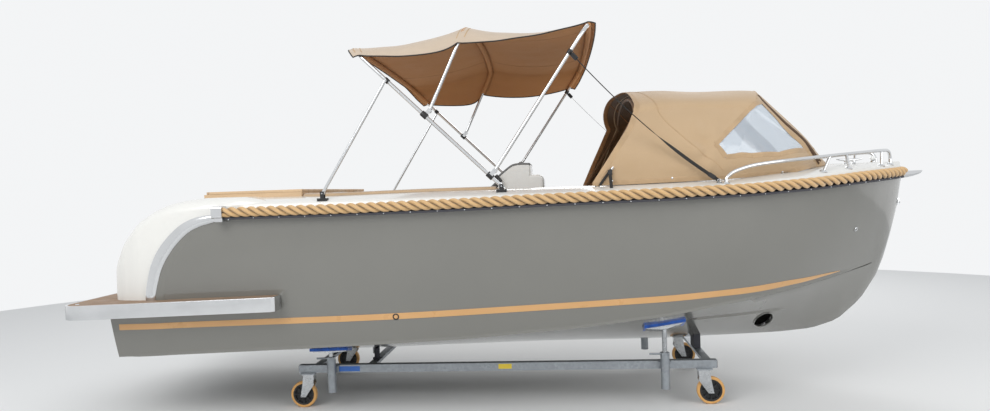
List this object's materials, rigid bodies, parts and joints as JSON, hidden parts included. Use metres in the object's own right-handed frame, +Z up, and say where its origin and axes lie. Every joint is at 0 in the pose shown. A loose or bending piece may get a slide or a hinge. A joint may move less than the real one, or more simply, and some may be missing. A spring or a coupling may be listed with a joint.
{
  "type": "boat tender",
  "caption": "Open motor launch with rope fender, folding sun canopy and spray hood, chocked on its wheeled yard trolley.",
  "frame": {"origin": "on the floor under the middle of the boat's length and width, level with the bottom of the trolley's wheels", "axes": "+X to the bow, +Y to port, +Z up"},
  "size_m": [6.33, 2.4462, 2.7788],
  "materials": {
    "hull_grey": "glossy grey topside and bottom paint over the moulded hull",
    "white_gelcoat": "glossy white gelcoat",
    "rope": "natural three-strand rope",
    "black_rubber": "black moulded rubber",
    "stainless": "polished stainless steel",
    "teak": "bare weathered teak",
    "tan_cushion": "tan upholstery cloth over foam",
    "tan_canvas": "tan acrylic canvas",
    "clear_vinyl": "clear flexible window sheet",
    "webbing": "black woven webbing",
    "galvanised": "hot-dip galvanised steel",
    "blue_pad": "blue carpet cloth over a board",
    "castor_steel": "bright zinc-plated steel",
    "castor_tread": "amber polyurethane tread on a dark rim",
    "wheel_leather": "grey stitched leather"
  },
  "bodies": {
    "boat_and_trolley": {"aft_deck_board": "teak", "bow_plate": "stainless", "bow_rail_port": "stainless", "bow_rail_starboard": "stainless", "canopy_foot_port": "stainless", "canopy_foot_starboard": "stainless", "canopy_strap_port": "webbing", "canopy_strap_starboard": "webbing", "cockpit_liner": "white_gelcoat", "cockpit_sole": "teak", "cushion_aft": "tan_cushion", "cushion_port": "tan_cushion", "cushion_starboard": "tan_cushion", "deck_moulding": "white_gelcoat", "helm_console": "white_gelcoat", "hood_cloth": "tan_canvas", "hood_hoop": "stainless", "hood_window_front": "clear_vinyl", "hood_window_port": "clear_vinyl", "hood_window_starboard": "clear_vinyl", "hull_shell": "hull_grey", "keel_pad_front": "black_rubber", "keel_pad_rear": "black_rubber", "keel_prop_port": "black_rubber", "keel_prop_starboard": "black_rubber", "platform_base": "white_gelcoat", "platform_rim": "stainless", "platform_teak": "teak", "rope_port": "rope", "rope_starboard": "rope", "rub_strip_port": "black_rubber", "rub_strip_starboard": "black_rubber", "stern_moulding": "white_gelcoat", "strut_foot_port": "stainless", "strut_foot_starboard": "stainless", "trolley_frame": "galvanised"},
    "canopy_main": {"canopy_main_bow": "stainless", "canopy_cloth": "tan_canvas"},
    "canopy_front": {"canopy_front_bow": "stainless"},
    "canopy_mid": {"canopy_mid_bow": "stainless"},
    "strut_starboard": {"canopy_strut_starboard": "stainless"},
    "strut_port": {"canopy_strut_port": "stainless"},
    "helm_wheel": {"steering_wheel": "wheel_leather"},
    "jack_front_starboard": {"jack_screw_front_starboard": "galvanised", "jack_board_front_starboard": "blue_pad"},
    "castor_front_starboard": {"castor_fork_front_starboard": "castor_steel"},
    "roller_front_starboard": {"castor_wheel_front_starboard": "castor_tread"},
    "jack_front_port": {"jack_screw_front_port": "galvanised", "jack_board_front_port": "blue_pad"},
    "castor_front_port": {"castor_fork_front_port": "castor_steel"},
    "roller_front_port": {"castor_wheel_front_port": "castor_tread"},
    "jack_rear_starboard": {"jack_screw_rear_starboard": "galvanised", "jack_board_rear_starboard": "blue_pad"},
    "castor_rear_starboard": {"castor_fork_rear_starboard": "castor_steel"},
    "roller_rear_starboard": {"castor_wheel_rear_starboard": "castor_tread"},
    "jack_rear_port": {"jack_screw_rear_port": "galvanised", "jack_board_rear_port": "blue_pad"},
    "castor_rear_port": {"castor_fork_rear_port": "castor_steel"},
    "roller_rear_port": {"castor_wheel_rear_port": "castor_tread"}
  },
  "joints": [
    {"name": "canopy_fold", "type": "hinge", "parent": "boat_and_trolley", "child": "canopy_main", "pos_m": [-0.045, 0, 1.622], "axis": [0, -1, 0], "range_deg": [0, 40], "deforming": ["canopy_cloth", "canopy_strap_starboard", "canopy_strap_port"]},
    {"name": "canopy_front_fold", "type": "hinge", "parent": "canopy_main", "child": "canopy_front", "pos_m": [-0.0871, 0, 1.7276], "axis": [0, -1, 0], "range_deg": [0, 77]},
    {"name": "canopy_mid_fold", "type": "hinge", "parent": "canopy_main", "child": "canopy_mid", "pos_m": [-0.5273, 0, 2.1557], "axis": [0, -1, 0], "range_deg": [0, 69.5]},
    {"name": "strut_fold_starboard", "type": "hinge", "parent": "boat_and_trolley", "child": "strut_starboard", "pos_m": [-1.276, -1.09, 1.612], "axis": [0, 1, 0], "range_deg": [0, 54]},
    {"name": "strut_fold_port", "type": "hinge", "parent": "boat_and_trolley", "child": "strut_port", "pos_m": [-1.276, 1.09, 1.612], "axis": [0, 1, 0], "range_deg": [0, 54]},
    {"name": "steering", "type": "hinge", "parent": "boat_and_trolley", "child": "helm_wheel", "pos_m": [-0.005, -0.22, 1.62], "axis": [-0.6292, 0, 0.7772], "range_deg": [-630, 630]},
    {"name": "jack_front_starboard", "type": "slide", "parent": "boat_and_trolley", "child": "jack_front_starboard", "axis": [0, 0, -1], "range_m": [0, 0.13]},
    {"name": "jack_front_port", "type": "slide", "parent": "boat_and_trolley", "child": "jack_front_port", "axis": [0, 0, -1], "range_m": [0, 0.13]},
    {"name": "jack_rear_starboard", "type": "slide", "parent": "boat_and_trolley", "child": "jack_rear_starboard", "axis": [0, 0, -1], "range_m": [0, 0.014]},
    {"name": "jack_rear_port", "type": "slide", "parent": "boat_and_trolley", "child": "jack_rear_port", "axis": [0, 0, -1], "range_m": [0, 0.014]},
    {"name": "swivel_front_starboard", "type": "hinge", "parent": "boat_and_trolley", "child": "castor_front_starboard", "pos_m": [1.345, -0.6025, 0.26], "axis": [0, 0, 1], "continuous": true},
    {"name": "roll_front_starboard", "type": "hinge", "parent": "castor_front_starboard", "child": "roller_front_starboard", "pos_m": [1.391, -0.6025, 0.1], "axis": [0, 1, 0], "continuous": true},
    {"name": "swivel_front_port", "type": "hinge", "parent": "boat_and_trolley", "child": "castor_front_port", "pos_m": [1.345, 0.6025, 0.26], "axis": [0, 0, 1], "continuous": true},
    {"name": "roll_front_port", "type": "hinge", "parent": "castor_front_port", "child": "roller_front_port", "pos_m": [1.391, 0.6025, 0.1], "axis": [0, 1, 0], "continuous": true},
    {"name": "swivel_rear_starboard", "type": "hinge", "parent": "boat_and_trolley", "child": "castor_rear_starboard", "pos_m": [-1.585, -0.6025, 0.26], "axis": [0, 0, 1], "continuous": true},
    {"name": "roll_rear_starboard", "type": "hinge", "parent": "castor_rear_starboard", "child": "roller_rear_starboard", "pos_m": [-1.631, -0.6025, 0.1], "axis": [0, 1, 0], "continuous": true},
    {"name": "swivel_rear_port", "type": "hinge", "parent": "boat_and_trolley", "child": "castor_rear_port", "pos_m": [-1.585, 0.6025, 0.26], "axis": [0, 0, 1], "continuous": true},
    {"name": "roll_rear_port", "type": "hinge", "parent": "castor_rear_port", "child": "roller_rear_port", "pos_m": [-1.631, 0.6025, 0.1], "axis": [0, 1, 0], "continuous": true}
  ],
  "couplings": [
    {"joint": "canopy_front_fold", "follows": "canopy_fold", "ratio": 1.91},
    {"joint": "canopy_mid_fold", "follows": "canopy_fold", "ratio": 1.725}
  ]
}
